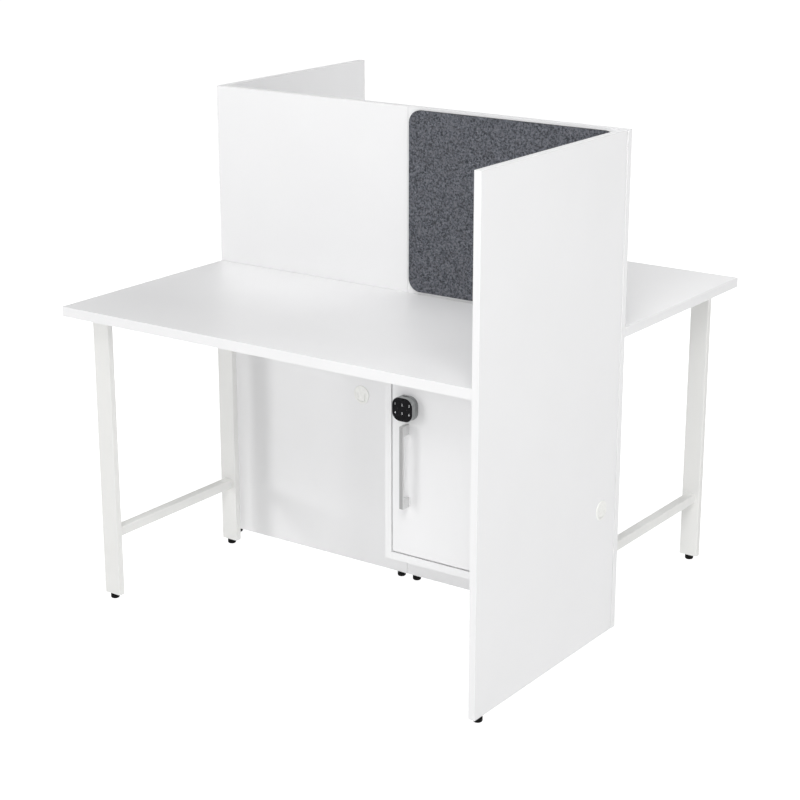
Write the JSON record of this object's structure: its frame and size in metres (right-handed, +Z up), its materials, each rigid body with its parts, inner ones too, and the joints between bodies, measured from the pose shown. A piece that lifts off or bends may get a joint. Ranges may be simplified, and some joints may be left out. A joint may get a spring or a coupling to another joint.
{
  "type": "study carrel",
  "caption": "Back-to-back study carrel: two desks on white legs, a shared screen with grey acoustic panels, side panels, and an underdesk locker with a keypad lock for each reader.",
  "frame": {"origin": "on the floor, under the middle of the footprint, which is the middle of the shared screen", "axes": "+Z up; +X to the right as the front reader sits, along the screen; -Y towards the front reader, +Y towards the back reader"},
  "size_m": [1.2014, 1.22, 1.2225],
  "materials": {
    "white_laminate": "satin",
    "white_steel": "satin",
    "grey_felt": "matte",
    "white_plastic": "matte",
    "black_plastic": "matte",
    "silver_metal": "satin",
    "satin_aluminium": "satin",
    "bright_steel": "satin",
    "beech": "matte"
  },
  "bodies": {
    "carcass": {"front_screen_board": "white_laminate", "front_side_panel": "white_laminate", "front_desk_top": "white_laminate", "front_acoustic_panel": "grey_felt", "front_outer_leg": "white_steel", "front_inner_leg": "white_steel", "front_leg_stretcher": "white_steel", "front_leg_top_rail": "white_steel", "front_locker_left_side": "white_laminate", "front_locker_right_side": "white_laminate", "front_locker_bottom": "white_laminate", "front_locker_top": "white_laminate", "front_locker_back": "white_laminate", "front_screen_grommet": "white_plastic", "front_side_grommet": "white_plastic", "back_screen_board": "white_laminate", "back_side_panel": "white_laminate", "back_desk_top": "white_laminate", "back_acoustic_panel": "grey_felt", "back_outer_leg": "white_steel", "back_inner_leg": "white_steel", "back_leg_stretcher": "white_steel", "back_leg_top_rail": "white_steel", "back_locker_left_side": "white_laminate", "back_locker_right_side": "white_laminate", "back_locker_bottom": "white_laminate", "back_locker_top": "white_laminate", "back_locker_back": "white_laminate", "back_screen_grommet": "white_plastic", "back_side_grommet": "white_plastic", "leg_end_plugs": "black_plastic", "levelling_inserts": "bright_steel", "locker_hinge_leaves": "bright_steel", "hinge_pins": "bright_steel", "lock_strikes": "bright_steel", "desk_brackets": "bright_steel", "assembly_screws": "bright_steel", "panel_dowels": "beech"},
    "front_door": {"front_locker_door": "white_laminate", "front_door_handle": "satin_aluminium", "front_door_hinge_leaves": "bright_steel", "front_lock_base": "silver_metal"},
    "front_lock_knob": {"front_lock_keypad": "silver_metal", "front_lock_cam": "bright_steel"},
    "front_outer_leg_foot": {"front_outer_leg_foot": "black_plastic"},
    "front_inner_leg_foot": {"front_inner_leg_foot": "black_plastic"},
    "front_side_panel_foot": {"front_side_panel_foot": "black_plastic"},
    "front_screen_end_foot": {"front_screen_end_foot": "black_plastic"},
    "front_screen_seam_foot": {"front_screen_seam_foot": "black_plastic"},
    "back_door": {"back_locker_door": "white_laminate", "back_door_handle": "satin_aluminium", "back_door_hinge_leaves": "bright_steel", "back_lock_base": "silver_metal"},
    "back_lock_knob": {"back_lock_keypad": "silver_metal", "back_lock_cam": "bright_steel"},
    "back_outer_leg_foot": {"back_outer_leg_foot": "black_plastic"},
    "back_inner_leg_foot": {"back_inner_leg_foot": "black_plastic"},
    "back_side_panel_foot": {"back_side_panel_foot": "black_plastic"},
    "back_screen_end_foot": {"back_screen_end_foot": "black_plastic"},
    "back_screen_seam_foot": {"back_screen_seam_foot": "black_plastic"}
  },
  "joints": [
    {"name": "front_door_hinge", "type": "hinge", "parent": "carcass", "child": "front_door", "pos_m": [0.561, -0.4129, 0.4895], "axis": [0, 0, 1], "range_deg": [0, 95]},
    {"name": "front_lock_turn", "type": "hinge", "parent": "front_door", "child": "front_lock_knob", "pos_m": [0.2796, -0.42, 0.6187], "axis": [0, 1, 0], "range_deg": [0, 90]},
    {"name": "front_outer_leg_foot_height", "type": "slide", "parent": "carcass", "child": "front_outer_leg_foot", "axis": [0, 0, -1], "range_m": [0, 0.01]},
    {"name": "front_inner_leg_foot_height", "type": "slide", "parent": "carcass", "child": "front_inner_leg_foot", "axis": [0, 0, -1], "range_m": [0, 0.01]},
    {"name": "front_side_panel_foot_height", "type": "slide", "parent": "carcass", "child": "front_side_panel_foot", "axis": [0, 0, -1], "range_m": [0, 0.01]},
    {"name": "front_screen_end_foot_height", "type": "slide", "parent": "carcass", "child": "front_screen_end_foot", "axis": [0, 0, -1], "range_m": [0, 0.01]},
    {"name": "front_screen_seam_foot_height", "type": "slide", "parent": "carcass", "child": "front_screen_seam_foot", "axis": [0, 0, -1], "range_m": [0, 0.01]},
    {"name": "back_door_hinge", "type": "hinge", "parent": "carcass", "child": "back_door", "pos_m": [-0.561, 0.4129, 0.4895], "axis": [0, 0, 1], "range_deg": [0, 95]},
    {"name": "back_lock_turn", "type": "hinge", "parent": "back_door", "child": "back_lock_knob", "pos_m": [-0.2796, 0.42, 0.6187], "axis": [0, -1, 0], "range_deg": [0, 90]},
    {"name": "back_outer_leg_foot_height", "type": "slide", "parent": "carcass", "child": "back_outer_leg_foot", "axis": [0, 0, -1], "range_m": [0, 0.01]},
    {"name": "back_inner_leg_foot_height", "type": "slide", "parent": "carcass", "child": "back_inner_leg_foot", "axis": [0, 0, -1], "range_m": [0, 0.01]},
    {"name": "back_side_panel_foot_height", "type": "slide", "parent": "carcass", "child": "back_side_panel_foot", "axis": [0, 0, -1], "range_m": [0, 0.01]},
    {"name": "back_screen_end_foot_height", "type": "slide", "parent": "carcass", "child": "back_screen_end_foot", "axis": [0, 0, -1], "range_m": [0, 0.01]},
    {"name": "back_screen_seam_foot_height", "type": "slide", "parent": "carcass", "child": "back_screen_seam_foot", "axis": [0, 0, -1], "range_m": [0, 0.01]}
  ]
}
